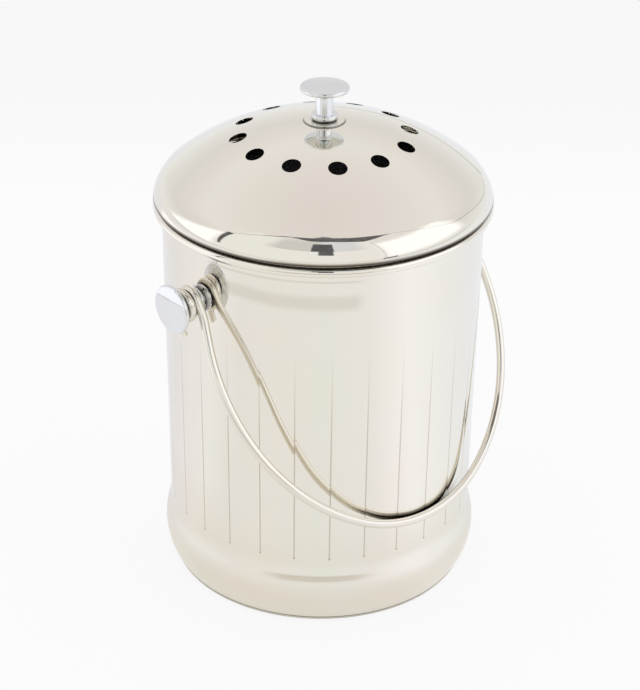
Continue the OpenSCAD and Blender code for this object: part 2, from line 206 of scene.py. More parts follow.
def arc(centre, radius, start, end, steps):
    """Points along an arc in the (radius, height) plane; angles in degrees."""
    turns = np.radians(np.linspace(start, end, steps + 1))
    return [(centre[0] + radius * math.cos(a), centre[1] + radius * math.sin(a)) for a in turns]


def line(start, end, steps):
    """Points along a straight line, its two ends left out."""
    return [
        (start[0] + (end[0] - start[0]) * t, start[1] + (end[1] - start[1]) * t)
        for t in np.linspace(0, 1, steps + 1)[1:-1]
    ]


def mesh_object(name, points, faces):
    """A new smooth object at the origin, from points and faces."""
    mesh = bpy.data.meshes.new(name)
    mesh.from_pydata([tuple(p) for p in points], [], faces)
    mesh.validate()
    obj = bpy.data.objects.new(name, mesh)
    bpy.context.scene.collection.objects.link(obj)
    return obj


def clean(obj, distance=1e-7):
    """Merges doubles and points every face outwards."""
    bm = bmesh.new()
    bm.from_mesh(obj.data)
    bmesh.ops.remove_doubles(bm, verts=bm.verts, dist=distance)
    bmesh.ops.dissolve_degenerate(bm, edges=bm.edges, dist=distance)
    bmesh.ops.recalc_face_normals(bm, faces=bm.faces)
    bm.to_mesh(obj.data)
    bm.free()


def smooth(obj, sharp_degrees):
    """Smooth shading that breaks at edges sharper than the given angle."""
    obj.data.shade_smooth()
    bm = bmesh.new()
    bm.from_mesh(obj.data)
    limit = math.radians(sharp_degrees)
    for edge in bm.edges:
        edge.smooth = len(edge.link_faces) == 2 and edge.calc_face_angle(0) < limit
    bm.to_mesh(obj.data)
    bm.free()


def lathe(name, profile, angles, sharp_degrees=32, matrix=None):
    """A closed profile of (radius, height) points turned about Z at the given angles.

    A profile that starts and ends on the axis is closed there by poles.
    """
    count = len(angles)
    points, rows = [], []
    for r, z in profile:
        if r < 1e-9:
            rows.append([len(points)] * count)
            points.append((0.0, 0.0, z))
        else:
            rows.append(list(range(len(points), len(points) + count)))
            points.extend((r * math.sin(a), -r * math.cos(a), z) for a in angles)
    faces = []
    on_axis = profile[0][0] < 1e-9 and profile[-1][0] < 1e-9
    last = len(rows) - 1 if on_axis else len(rows)
    for i in range(last):
        low, high = rows[i], rows[(i + 1) % len(rows)]
        for j in range(count):
            k = (j + 1) % count
            loop = []
            for v in (low[j], low[k], high[k], high[j]):
                if v not in loop:
                    loop.append(v)
            if len(loop) > 2:
                faces.append(loop)
    obj = mesh_object(name, points, faces)
    clean(obj)
    if matrix is not None:
        obj.data.transform(matrix)
    smooth(obj, sharp_degrees)
    return obj


def even_angles(count):
    """Angles of a full turn in equal steps, from the front."""
    return [2 * math.pi * i / count for i in range(count)]


def coat(obj, material):
    """Gives an object one material."""
    obj.data.materials.clear()
    obj.data.materials.append(material)


def dress(obj, body, material, replaced):
    """Gives a piece its material, its body and the solids that it stands for."""
    coat(obj, material)
    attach(obj, body)
    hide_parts(*replaced)


# ---------------------------------------------------------------- node helpers


def feed(tree, node, inputs):
    """Links or sets a node's inputs."""
    for key, value in inputs.items():
        socket = node.inputs[key]
        if isinstance(value, bpy.types.NodeSocket):
            tree.links.new(value, socket)
        else:
            socket.default_value = value


def add(tree, kind, inputs=None, **settings):
    """Adds a node, sets its properties, and links or sets its inputs."""
    made = tree.nodes.new(kind)
    for key, value in settings.items():
        setattr(made, key, value)
    feed(tree, made, inputs or {})
    return made


def calc(tree, operation, *values):
    """A Math node's result."""
    kind = "ShaderNodeMath"
    return add(tree, kind, dict(enumerate(values)), operation=operation).outputs[0]


def times(tree, first, *others):
    """The product of all the values."""
    for other in others:
        first = calc(tree, "MULTIPLY", first, other)
    return first


def plus(tree, first, *others):
    """The sum of all the values."""
    for other in others:
        first = calc(tree, "ADD", first, other)
    return first


def minus(tree, first, second):
    """The first value less the second."""
    return calc(tree, "SUBTRACT", first, second)


def off_by(tree, first, second):
    """How far apart two values are."""
    return calc(tree, "ABSOLUTE", minus(tree, first, second))


def diagonal(tree, x, y):
    """The length of a step of x and y."""
    return calc(tree, "SQRT", plus(tree, times(tree, x, x), times(tree, y, y)))


def heading(tree, x, y):
    """The turn of a place round the pail from the front, in radians."""
    return calc(tree, "ARCTAN2", x, times(tree, y, -1.0))


def split(tree, vector):
    """The X, Y and Z of a vector."""
    return add(tree, "ShaderNodeSeparateXYZ", {0: vector}).outputs


def ramp(tree, value, low, high, to_low=0.0, to_high=1.0, soft=True):
    """A value carried from one range to another, held at both ends."""
    made = add(
        tree,
        "ShaderNodeMapRange",
        {"Value": value, "From Min": low, "From Max": high, "To Min": to_low, "To Max": to_high},
        interpolation_type="SMOOTHSTEP" if soft else "LINEAR",
    )
    return made.outputs[0]


def fade(tree, value, low, high, start=1.0):
    """A number that falls from its start to nothing between two values."""
    return ramp(tree, value, low, high, start, 0.0)


def graph(tree, value, low, high, stops):
    """A colour that follows a value between two ends; stops are (value, colour)."""
    made = add(tree, "ShaderNodeValToRGB", {"Fac": ramp(tree, value, low, high, soft=False)})
    elements = made.color_ramp.elements
    for element, (at, shade) in zip((elements[0], elements[-1]), (stops[0], stops[-1])):
        element.position, element.color = (at - low) / (high - low), (*shade, 1)
    for at, shade in stops[1:-1]:
        elements.new((at - low) / (high - low)).color = (*shade, 1)
    return made.outputs["Color"]


def level(tree, value, low, high, stops):
    """A number from 0 to 1 that follows a value; stops are (value, number)."""
    colour_out = graph(tree, value, low, high, [(at, (n, n, n)) for at, n in stops])
    return add(tree, "ShaderNodeSeparateColor", {0: colour_out}).outputs[0]


def blend(tree, part, first, second, **settings):
    """The first colour turning into the second."""
    inputs = {0: part}
    for socket, shade in ((6, first), (7, second)):
        inputs[socket] = shade if isinstance(shade, bpy.types.NodeSocket) else (*shade, 1)
    return add(tree, "ShaderNodeMix", inputs, data_type="RGBA", **settings).outputs[2]


def geometry_tree(name, inputs):
    """A new Geometry Nodes tree with a geometry in and out and the named inputs.

    Returns the tree, its input node's sockets by name, its output socket's node, and
    each input's identifier by name.
    """
    tree = bpy.data.node_groups.new(name, "GeometryNodeTree")
    face = tree.interface
    face.new_socket("Geometry", in_out="INPUT", socket_type="NodeSocketGeometry")
    ids = {}
    for label, kind in inputs.items():
        ids[label] = face.new_socket(label, in_out="INPUT", socket_type=kind).identifier
    face.new_socket("Geometry", in_out="OUTPUT", socket_type="NodeSocketGeometry")
    start = tree.nodes.new("NodeGroupInput")
    end = tree.nodes.new("NodeGroupOutput")
    return tree, start.outputs, end, ids


def finish_tree(tree, end, geometry, material):
    """Closes a tree with Realize Instances and Set Material."""
    real = add(tree, "GeometryNodeRealizeInstances", {"Geometry": geometry})
    inputs = {"Geometry": real.outputs[0], "Material": material}
    painted = add(tree, "GeometryNodeSetMaterial", inputs)
    tree.links.new(painted.outputs[0], end.inputs["Geometry"])


def grow(obj, tree, ids, values):
    """Runs a Geometry Nodes tree on an object and keeps the result as its plain mesh."""
    modifier = obj.modifiers.new(tree.name, "NODES")
    modifier.node_group = tree
    for label, value in values.items():
        modifier[ids[label]] = value
    bpy.context.view_layer.update()
    graph = bpy.context.evaluated_depsgraph_get()
    mesh = bpy.data.meshes.new_from_object(obj.evaluated_get(graph))
    name = obj.name
    obj.modifiers.remove(modifier)
    if obj.type == "MESH":
        old, obj.data = obj.data, mesh
        bpy.data.meshes.remove(old)
        return obj
    bpy.data.objects.remove(obj)
    grown = bpy.data.objects.new(name, mesh)
    bpy.context.scene.collection.objects.link(grown)
    return grown


FLOAT, INTEGER, MATERIAL = "NodeSocketFloat", "NodeSocketInt", "NodeSocketMaterial"


# ---------------------------------------------------------------- finishes

# colour of the painted shade laid into narrow gaps of the metal finishes
PAINTED_SHADE = (0.05, 0.042, 0.032)


def new_material(name, metallic=0.0):
    """A material with an empty tree, its shader and its Object coordinates."""
    material = bpy.data.materials.new(name)
    material.use_nodes = True
    tree = material.node_tree
    tree.nodes.clear()
    shader = tree.nodes.new("ShaderNodeBsdfPrincipled")
    shader.inputs["Metallic"].default_value = metallic
    output = tree.nodes.new("ShaderNodeOutputMaterial")
    tree.links.new(shader.outputs[0], output.inputs["Surface"])
    where = tree.nodes.new("ShaderNodeTexCoord").outputs["Object"]
    return material, tree, shader, where


def noise(tree, where, scale, detail=3.0, stretch=(1, 1, 1), roughness=0.5):
    """A noise value on Object coordinates, stretched along the axes."""
    mapped = add(tree, "ShaderNodeMapping", {"Vector": where, "Scale": stretch})
    made = add(
        tree,
        "ShaderNodeTexNoise",
        {"Vector": mapped.outputs[0], "Scale": scale, "Detail": detail, "Roughness": roughness},
    )
    return made.outputs[0]


def tinted(tree, base, where, scale, tints, amount):
    """The base colour drifting slowly between faint tints."""
    drift = add(tree, "ShaderNodeValToRGB", {"Fac": noise(tree, where, scale, 2.0)})
    elements = drift.color_ramp.elements
    elements[0].position, elements[1].position = 0.36, 0.64
    elements[0].color = (*tints[0], 1)
    elements[1].color = (*tints[1], 1)
    elements.new(0.5).color = (1, 1, 1, 1)
    return blend(tree, amount, base, drift.outputs["Color"], blend_type="MULTIPLY")


def relief(tree, height, strength, distance):
    """Small unevenness of a surface."""
    inputs = {"Strength": strength, "Distance": distance, "Height": height}
    return add(tree, "ShaderNodeBump", inputs).outputs[0]


def paint(tree, shader, tint, rough, normal):
    """Gives a shader its colour, its roughness and its unevenness."""
    feed(tree, shader, {"Base Color": tint, "Roughness": rough, "Normal": normal})


def painted_crevice_shade(tree, tint, reach):
    """Painted shade: darkens gaps that are narrower than the reach, read from ambient occlusion."""
    opened = add(tree, "ShaderNodeAmbientOcclusion", {"Distance": reach}, samples=8)
    return blend(tree, fade(tree, opened.outputs["AO"], 0.15, 0.72, 0.96), tint, PAINTED_SHADE)


def polished_steel(name, base, haze, grain, scale=1.0, reach=4 * MM, marks=None):
    """Mirror-polished stainless sheet: slow tint, fine buffing marks, a little haze and painted
    shade in its gaps.

    Marks are a function that paints shade into the colour and changes the roughness, given the
    tree, the place and these two.
    """
    material, tree, shader, where = new_material(name, 1.0)
    tint = tinted(tree, base, where, 13 * scale, ((1.0, 0.972, 0.955), (0.985, 1.0, 0.965)), 0.5)
    buffed = noise(tree, where, 900 * scale, 4.0, (1, 1, 0.06))
    wiped = noise(tree, where, 60 * scale, 5.0, (1, 1, 2.5), 0.62)
    rough = ramp(tree, wiped, 0.3, 0.75, haze * 0.6, haze * 1.4)
    rough = plus(tree, rough, times(tree, buffed, haze * 0.25))
    if marks:
        tint, rough = marks(tree, where, tint, rough)
    height = plus(tree, times(tree, buffed, grain), noise(tree, where, 20 * scale, 1.0))
    # painted shade darkens the tint in narrow gaps
    paint(tree, shader, painted_crevice_shade(tree, tint, reach), rough, relief(tree, height, 0.1, 0.25 * MM))
    return material


def pail_shade_and_marks(tree, where, tint, rough):
    """Painted shade darkening the creases at the flute lines, which are also rougher, a soft foot
    and a satin inside.
    """
    flutes = bpy.context.scene.compost_pail.flutes
    crease = crease_mask(tree, where, flutes.count, flutes.low, flutes.high)
    # painted shade: the tint turns darker and brown in each crease
    tint = blend(tree, times(tree, crease, 0.5), tint, (0.36, 0.29, 0.2))
    up = split(tree, where)[2]
    facing = tree.nodes.new("ShaderNodeTexCoord").outputs["Normal"]
    inward = add(tree, "ShaderNodeVectorMath", {0: where, 1: facing}, operation="DOT_PRODUCT")
    inside = fade(tree, inward.outputs["Value"], -30 * MM, -10 * MM, 0.4)
    satin = times(tree, inside, fade(tree, up, 204 * MM, 208 * MM))
    foot = fade(tree, up, 24 * MM, 40 * MM, 0.12)
    return tint, plus(tree, rough, foot, times(tree, crease, 0.2), satin)


def lid_painted_shade(tree, where, tint, rough):
    """Painted shade: a dark line at the step round the knob's seat and a dark band at the hem,
    standing in for the shade of the gap under it.
    """
    lid = bpy.context.scene.compost_pail.lid
    x, y, up = split(tree, where)
    # painted shade: a dark line at the step round the knob's seat
    step = off_by(tree, diagonal(tree, x, y), lid.seat_radius + 0.25 * MM)
    above = ramp(tree, up, dome_apex(lid) - 1.2 * MM, dome_apex(lid) - 0.8 * MM)
    step = times(tree, fade(tree, step, 0.15 * MM, 0.45 * MM, 0.8), above)
    tint = blend(tree, step, tint, (0.12, 0.1, 0.085))
    # painted shade at the hem, standing in for the dark gap between the lid and the rim
    hem = fade(tree, up, lid.edge_height + 0.3 * MM, lid.edge_height + 1.9 * MM, 0.93)
    return blend(tree, hem, tint, (0.06, 0.045, 0.035)), rough


def crease_mask(tree, where, count, low, high):
    """One in the crease of each pressed line, with a dot at its lower end."""
    x, y, z = split(tree, where)
    whole_turn, wall = 2 * math.pi, 86 * MM
    phase = calc(tree, "FRACT", times(tree, heading(tree, x, y), count / whole_turn))
    to_line = minus(tree, 0.5, off_by(tree, phase, 0.5))
    to_line = times(tree, to_line, whole_turn * wall / count)
    narrow = fade(tree, to_line, 0.1 * MM, 0.55 * MM)
    bottom = ramp(tree, z, low - 0.3 * MM, low + 0.3 * MM)
    top = fade(tree, z, high - 70 * MM, high + 4 * MM)
    apart = diagonal(tree, to_line, minus(tree, z, low + 0.3 * MM))
    dot = fade(tree, apart, 0.45 * MM, 0.95 * MM)
    return calc(tree, "MAXIMUM", times(tree, narrow, bottom, top), dot)


def chromed(name, base):
    """Bright chrome plate with a faint orange-peel, hairline wipe marks and painted shade in its
    gaps.
    """
    material, tree, shader, where = new_material(name, 1.0)
    tint = tinted(tree, base, where, 70, ((0.97, 0.985, 1.0), (1.0, 0.985, 0.965)), 0.6)
    wiped = ramp(tree, noise(tree, where, 420, 4.0, (1, 1, 3), 0.6), 0.35, 0.8, 0.03, 0.075)
    peel = relief(tree, noise(tree, where, 260, 1.0), 0.08, 0.06 * MM)
    # painted shade darkens the tint in narrow gaps
    paint(tree, shader, painted_crevice_shade(tree, tint, 6 * MM), wiped, peel)
    return material


def plated(name, base):
    """Dull zinc plate with a crystalline mottle."""
    material, tree, shader, where = new_material(name, 1.0)
    tint = tinted(tree, base, where, 320, ((0.93, 0.96, 1.0), (1.0, 0.97, 0.9)), 0.9)
    mottle = noise(tree, where, 1500, 3.0)
    rough = ramp(tree, mottle, 0.3, 0.7, 0.26, 0.42)
    paint(tree, shader, tint, rough, relief(tree, mottle, 0.2, 0.05 * MM))
    return material


def moulded(name, base):
    """Black moulded plastic with a fine spark-eroded grain."""
    material, tree, shader, where = new_material(name)
    tint = tinted(tree, base, where, 45, ((0.85, 0.85, 0.9), (1.15, 1.12, 1.1)), 0.8)
    grain = noise(tree, where, 2600, 4.0)
    rough = ramp(tree, grain, 0.3, 0.7, 0.38, 0.58)
    paint(tree, shader, tint, rough, relief(tree, grain, 0.35, 0.06 * MM))
    shader.inputs["Specular IOR Level"].default_value = 0.45
    return material


def felted(name, base):
    """Charcoal felt: matted fibres, pale flecks and a soft sheen."""
    material, tree, shader, where = new_material(name)
    fibres = noise(tree, where, 700, 8.0, (1, 1, 1), 0.75)
    fleck = ramp(tree, noise(tree, where, 1900, 4.0), 0.6, 0.72)
    shade = blend(tree, fibres, [c * 0.45 for c in base], [c * 1.9 for c in base])
    flecked = blend(tree, times(tree, fleck, 0.35), shade, (0.16, 0.16, 0.17))
    paint(tree, shader, flecked, 0.95, relief(tree, fibres, 0.9, 0.5 * MM))
    shader.inputs["Sheen Weight"].default_value = 0.35
    shader.inputs["Sheen Roughness"].default_value = 0.5
    return material


FINISHES = {}


def finishes():
    """The pail's materials, made once."""
    if not FINISHES:
        tone = bpy.context.scene.compost_pail.finish
        sheet = (tone.steel, 0.035, 0.05)
        FINISHES["steel"] = polished_steel("Polished steel sheet", *sheet)
        FINISHES["pail"] = polished_steel("Fluted steel sheet", *sheet, marks=pail_shade_and_marks)
        FINISHES["lid"] = polished_steel("Domed steel sheet", *sheet, marks=lid_painted_shade)
        FINISHES["wire"] = polished_steel("Drawn steel wire", tone.wire, 0.07, 0.1, 3.0, 7 * MM)
        FINISHES["chrome"] = chromed("Chrome plate", tone.chrome)
        FINISHES["zinc"] = plated("Zinc plate", tone.zinc)
        FINISHES["plastic"] = moulded("Black moulded plastic", tone.plastic)
        FINISHES["felt"] = felted("Charcoal felt", tone.charcoal)
    return FINISHES


# ---------------------------------------------------------------- the pail


def foot_curves(s):
    """Centres and radii of the foot's belly arc and of the hollow above it."""
    wall_low = (s.mouth_radius - s.wall_taper, 2 * s.belly_height)
    bead_z = s.rim_height - s.bead_radius
    lean = math.atan2(s.wall_taper, bead_z - wall_low[1])
    out = Vector((math.cos(lean), -math.sin(lean)))
    up = Vector((math.sin(lean), math.cos(lean)))
    belly_r = (s.tuck**2 + s.belly_height**2) / (2 * s.tuck)
    belly = Vector((wall_low[0] + s.swell - belly_r, s.belly_height))
    start = Vector(wall_low) + s.blend_radius * out - belly
    along = start.dot(up)
    reach = belly_r + s.blend_radius
    step = math.sqrt(along**2 - start.dot(start) + reach**2) - along
    blend = belly + start + step * up
    aim = math.degrees(math.atan2(blend.y - belly.y, blend.x - belly.x))
    bead = Vector((s.mouth_radius, bead_z)) + (s.bead_radius - s.sheet) * out
    return belly, belly_r, blend, aim, bead, math.degrees(lean)


def pail_profile(s, low, high):
    """Closed section of the pail's sheet, from the lip up the outside and down the inside."""
    belly, belly_r, blend, aim, bead, lean = foot_curves(s)
    inner_r = belly_r - s.sheet
    lip = math.degrees(math.asin((s.base_gap - belly.y) / belly_r))
    lip_in = math.degrees(math.asin((s.base_gap - belly.y) / inner_r))
    wall_aim = 180 - lean
    curl_in = s.bead_radius - s.sheet
    outside = arc(belly, belly_r, lip, aim, 22)
    outside += arc(blend, s.blend_radius, 180 + aim, wall_aim, 9)[1:]
    wall_foot = outside[-1]
    curl = arc(bead, curl_in, wall_aim, -132, 14)
    heights = [low - 1.5 * MM, low - 0.7 * MM, low - 0.25 * MM, low, low + 0.5 * MM, low + 1.5 * MM]
    heights += list(np.linspace(low + 5 * MM, high + 3 * MM, 32))
    wall = []
    for z in heights:
        t = (z - wall_foot[1]) / (curl[0][1] - wall_foot[1])
        wall.append((wall_foot[0] + t * (curl[0][0] - wall_foot[0]), z))
    outside += wall
    outside += line(wall[-1], curl[0], 5)
    inside = arc(bead, s.bead_radius, -132, wall_aim, 26)
    down = [(r - s.sheet, z) for r, z in reversed(wall)]
    foot = arc(blend, s.blend_radius + s.sheet, wall_aim, 180 + aim, 6)
    foot += arc(belly, inner_r, aim, lip_in, 12)[1:]
    return outside + curl + inside + line(inside[-1], down[0], 3) + down + foot


def panel_angles(count, s):
    """Angles round the pail, closer together beside each flute line."""
    pitch = 2 * math.pi / count
    line_edge = 0.7 * MM / s.mouth_radius
    steps = [0, *np.linspace(line_edge, pitch / 2, 6)]
    one = steps + [pitch - a for a in reversed(steps[1:-1])]
    return [pitch * i + a for i in range(count) for a in one]


def flute_tree():
    """Presses flute lines and slightly crowned panels into a round wall."""
    labels = ("Bulge", "Line Depth", "Line Half Width", "Low", "High")
    tree, given, end, ids = geometry_tree(
        "Pressed flutes", {"Count": FLOAT, **{n: FLOAT for n in labels}, "Material": MATERIAL}
    )
    x, y, z = split(tree, tree.nodes.new("GeometryNodeInputPosition").outputs[0])
    radius = diagonal(tree, x, y)
    panels = times(tree, heading(tree, x, y), given["Count"], 1 / (2 * math.pi))
    phase = minus(tree, calc(tree, "FRACT", panels), 0.5)
    across = times(tree, calc(tree, "ABSOLUTE", phase), 2.0)
    pitch = calc(tree, "DIVIDE", 2 * math.pi, given["Count"])
    to_line = times(tree, minus(tree, 1.0, across), 0.5, pitch, radius)
    # the panel's crown grows above the lower ends and dies away well below the upper ends
    start = minus(tree, given["Low"], 4 * MM)
    full = plus(tree, given["Low"], 14 * MM)
    fading = minus(tree, given["High"], 45 * MM)
    held = times(tree, ramp(tree, z, start, full), fade(tree, z, fading, given["High"]))
    crown = times(tree, minus(tree, 1 / 3, times(tree, across, across)), given["Bulge"], held)
    # the line itself is a narrow valley with a slightly deeper end at the foot
    valley = minus(tree, 1.0, calc(tree, "DIVIDE", to_line, given["Line Half Width"]))
    low_end = ramp(tree, z, minus(tree, given["Low"], 0.3 * MM), given["Low"])
    shallow = ramp(tree, z, given["Low"], given["High"], 1.0, 0.0, soft=False)
    end_dot = ramp(tree, z, given["Low"], plus(tree, given["Low"], 1.6 * MM), 1.9, 1.0)
    depth = times(tree, given["Line Depth"], low_end, end_dot, shallow)
    shift = minus(tree, crown, times(tree, calc(tree, "MAXIMUM", valley, 0.0), depth))
    out = {0: calc(tree, "DIVIDE", x, radius), 1: calc(tree, "DIVIDE", y, radius)}
    out = add(tree, "ShaderNodeCombineXYZ", out).outputs[0]
    offset = add(tree, "ShaderNodeVectorMath", {0: out, "Scale": shift}, operation="SCALE")
    moved = {"Geometry": given["Geometry"], "Offset": offset.outputs[0]}
    pressed = add(tree, "GeometryNodeSetPosition", moved)
    finish_tree(tree, end, pressed.outputs[0], given["Material"])
    return tree, ids


class BuildPail(bpy.types.Operator):
    """Builds the fluted pail with its rolled rim and belly foot"""

    bl_idname = "compost_pail.build_pail"
    bl_label = "Pail"

    def execute(self, context):
        settings = context.scene.compost_pail
        s, f = settings.pail, settings.flutes
        skin = finishes()
        shell = lathe("pail_shell", pail_profile(s, f.low, f.high), panel_angles(f.count, s), 60)
        tree, ids = flute_tree()
        values = {
            "Count": float(f.count),
            "Bulge": f.bulge,
            "Line Depth": f.line_depth,
            "Line Half Width": f.line_half,
            "Low": f.low,
            "High": f.high,
            "Material": skin["pail"],
        }
        shell = grow(shell, tree, ids, values)
        smooth(shell, 60)
        dress(shell, "pail", skin["pail"], ["pail_body"])
        coat(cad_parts["base_plate"], skin["steel"])
        return {"FINISHED"}


# ---------------------------------------------------------------- knobs and screws


def knob_profile(k, root):
    """Section of a turned knob from the axis under its foot to the axis on its face."""
    edge = k.disc_edge / 2
    neck_end = k.collar_height + k.neck_length
    disc_z = neck_end + k.cone_height
    fillet, collar_round = 0.6 * MM, 0.8 * MM
    slope = math.degrees(math.atan2(k.cone_height, k.disc_radius - edge - k.neck_radius - fillet))
    flat = k.disc_radius - edge
    crown_r = (flat**2 + k.crown**2) / (2 * k.crown)
    face = disc_z + k.disc_edge
    crown_half = math.degrees(math.asin(flat / crown_r))
    points = [(0.0, -root), (k.foot_radius, -root), (k.foot_radius, 0.0)]
    points += [(k.collar_radius - 0.25 * MM, k.collar_height / 2 - 0.25 * MM)]
    corner = (k.collar_radius - collar_round, k.collar_height - collar_round)
    points += arc(corner, collar_round, 0, 90, 8)
    points += arc((k.neck_radius + fillet, k.collar_height + fillet), fillet, 270, 180, 6)
    points += arc((k.neck_radius + fillet, neck_end - fillet), fillet, 180, 90 + slope, 6)
    points += arc((flat, disc_z + edge), edge, -90 + slope, 90, 18)
    points += arc((0, face + k.crown - crown_r), crown_r, 90 - crown_half, 90, 14)[1:]
    return points


def side_matrix(side, reach):
    """Stands what is drawn along +Z out of the wall at +X, or at -X."""
    k = bpy.context.scene.compost_pail.knob
    turn = Matrix.Rotation(math.radians(90 * side), 4, "Y")
    return Matrix.Translation((0, 0, k.pivot_height)) @ turn @ Matrix.Translation((0, 0, reach))


def wall_radius(s, z):
    """Outside radius of the wall at a height."""
    low = 2 * s.belly_height
    slope = s.wall_taper / (s.rim_height - s.bead_radius - low)
    return s.mouth_radius - s.wall_taper + (z - low) * slope


class BuildKnobs(bpy.types.Operator):
    """Builds the two side knobs and the lid's knob"""

    bl_idname = "compost_pail.build_knobs"
    bl_label = "Knobs"

    def execute(self, context):
        settings = context.scene.compost_pail
        k, s, lid = settings.knob, settings.pail, settings.lid
        chrome = finishes()["chrome"]
        wall = wall_radius(s, k.pivot_height)
        root = wall - math.sqrt(wall**2 - k.foot_radius**2)
        for side, name in ((-1, "left"), (1, "right")):
            profile, place = knob_profile(k, root), side_matrix(side, wall)
            knob = lathe(name + "_knob_turned", profile, even_angles(96), 34, place)
            dress(knob, "pail", chrome, [name + "_side_knob"])
        seat = dome_apex(lid) + lid.seat_rise
        place = Matrix.Translation((0, 0, seat))
        top = lathe("lid_knob_turned", knob_profile(k, 0.0), even_angles(96), 34, place)
        dress(top, "lid", chrome, ["lid_knob"])
        return {"FINISHED"}


class BuildFixings(bpy.types.Operator):
    """Finishes the screws and washers that hold the knobs"""

    bl_idname = "compost_pail.build_fixings"
    bl_label = "Fixings"

    def execute(self, context):
        zinc = finishes()["zinc"]
        for name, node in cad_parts.items():
            if name.endswith(("_screw", "_washer")):
                coat(node, zinc)
        return {"FINISHED"}


# ---------------------------------------------------------------- the bail


def bail_path(b, k, wall):
    """Points along the wire from the cut tail of one eye to that of the other.

    The plane of the bail has X across and Z up from the pivot; the eyes wind in Y and Z.
    """
    eye_r = k.neck_radius + b.eye_clear + b.wire_radius
    eye_x = wall + k.collar_height + b.side_clear + b.wire_radius
    pitch = 2 * b.wire_radius + b.turn_gap
    half = eye_x + b.splay
    crown_r, side_r = half - b.crown_less, half + b.side_more
    side_x = half - side_r
    bend_sum = side_r + b.eye_bend
    across = bend_sum - b.splay
    rise = math.sqrt(b.leg_length**2 + bend_sum**2 - across**2)
    lean = math.asin(bend_sum / math.hypot(rise, across)) - math.atan2(across, rise)
    side_z = -rise - eye_r
    crown_z = side_z - math.sqrt((side_r - crown_r) ** 2 - side_x**2)
    join = math.atan2(crown_z - side_z, -side_x)

    def turn(cx, cz, r, a0, a1, steps):
        angles = np.linspace(a0, a1, steps + 1)
        return [Vector((cx + r * math.cos(a), -eye_r, cz + r * math.sin(a))) for a in angles]

    points = turn(0, crown_z, crown_r, -math.pi / 2, join, 60)
    points += turn(side_x, side_z, side_r, join, lean, 44)[1:]
    points += turn(eye_x + b.eye_bend, -eye_r, b.eye_bend, math.pi + lean, math.pi, 8)
    # one and a half turns round the neck, moved outwards by one pitch in the middle turn
    steps = 78
    for i in range(steps + 1):
        a = 3 * math.pi * i / steps
        t = min(max((a - 0.45 * math.pi) / (2.1 * math.pi), 0.0), 1.0)
        drift = pitch * (t * t * (3 - 2 * t))
        points.append(Vector((eye_x + drift, -eye_r * math.cos(a), eye_r * math.sin(a))))
    end = points[-1]
    points += [Vector((end.x, end.y, -b.tail * t)) for t in np.linspace(0.08, 1, 10)]
    mirrored = [Vector((-p.x, p.y, p.z)) for p in reversed(points[1:])]
    return mirrored + points


def wire_tree():
    """Sweeps a round wire along a path."""
    labels = {"Wire Radius": FLOAT, "Sides": INTEGER, "Material": MATERIAL}
    tree, given, end, ids = geometry_tree("Swept wire", labels)
    inputs = {"Radius": given["Wire Radius"], "Resolution": given["Sides"]}
    ring = add(tree, "GeometryNodeCurvePrimitiveCircle", inputs)
    swept = add(
        tree,
        "GeometryNodeCurveToMesh",
        {"Curve": given["Geometry"], "Profile Curve": ring.outputs[0], "Fill Caps": True},
    )
    finish_tree(tree, end, swept.outputs[0], given["Material"])
    return tree, ids


class BuildBail(bpy.types.Operator):
    """Winds the wire bail and its two eyes"""

    bl_idname = "compost_pail.build_bail"
    bl_label = "Bail"

    def execute(self, context):
        settings = context.scene.compost_pail
        b, k = settings.bail, settings.knob
        wall = wall_radius(settings.pail, k.pivot_height)
        place = Matrix.Translation((0, 0, k.pivot_height)) @ Matrix.Rotation(-b.lean, 4, "X")
        points = [place @ p for p in bail_path(b, k, wall)]
        curve = bpy.data.curves.new("bail_wire", "CURVE")
        curve.dimensions = "3D"
        spline = curve.splines.new("POLY")
        spline.points.add(len(points) - 1)
        for target, p in zip(spline.points, points):
            target.co = (*p, 1)
        obj = bpy.data.objects.new("bail_wire", curve)
        context.scene.collection.objects.link(obj)
        tree, ids = wire_tree()
        wire = finishes()["wire"]
        obj = grow(obj, tree, ids, {"Wire Radius": b.wire_radius, "Sides": 28, "Material": wire})
        clean(obj)
        smooth(obj, 50)
        dress(obj, "bail", wire, ["bail_handle"])
        return {"FINISHED"}


# ---------------------------------------------------------------- the lid


def dome_curves(s):
    """Shoulder centre, dome centre height and the angle at which they join."""
    shoulder_z = s.edge_height - s.shoulder_drop
    shoulder_x = s.edge_radius - math.sqrt(s.shoulder_radius**2 - s.shoulder_drop**2)
    dome_z = shoulder_z - math.sqrt((s.dome_radius - s.shoulder_radius) ** 2 - shoulder_x**2)
    join = math.degrees(math.atan2(shoulder_z - dome_z, shoulder_x))
    return (shoulder_x, shoulder_z), dome_z, join


def dome_apex(s):
    """Height of the dome's top."""
    return dome_curves(s)[1] + s.dome_radius


def lid_profile(s, sheet):
    """Section of the lid from its edge up the outside to the seat and back inside."""
    shoulder, dome_z, join = dome_curves(s)
    seat_z = dome_z + s.dome_radius + s.seat_rise
    edge = math.degrees(math.asin(s.shoulder_drop / s.shoulder_radius))
    inner = s.shoulder_radius - sheet
    edge_in = math.degrees(math.asin(s.shoulder_drop / inner))
    land = math.degrees(math.acos((s.seat_radius + 0.35 * MM) / s.dome_radius))
    dome_in = s.dome_radius - sheet
    land_in = math.degrees(math.asin((seat_z - s.seat_sheet - dome_z) / dome_in))
    outside = arc(shoulder, s.shoulder_radius, edge, join, 40)
    outside += arc((0, dome_z), s.dome_radius, join, land, 56)[1:]
    seat = [(s.seat_radius + 0.12 * MM, seat_z - 0.12 * MM), (s.seat_radius, seat_z - 0.03 * MM)]
    seat += [(s.seat_radius - 0.15 * MM, seat_z), (0.0, seat_z)]
    under = [(0.0, seat_z - s.seat_sheet)]
    under += arc((0, dome_z), dome_in, land_in, join, 40)
    under += arc(shoulder, inner, join, edge_in, 20)[1:]
    return outside + seat, under


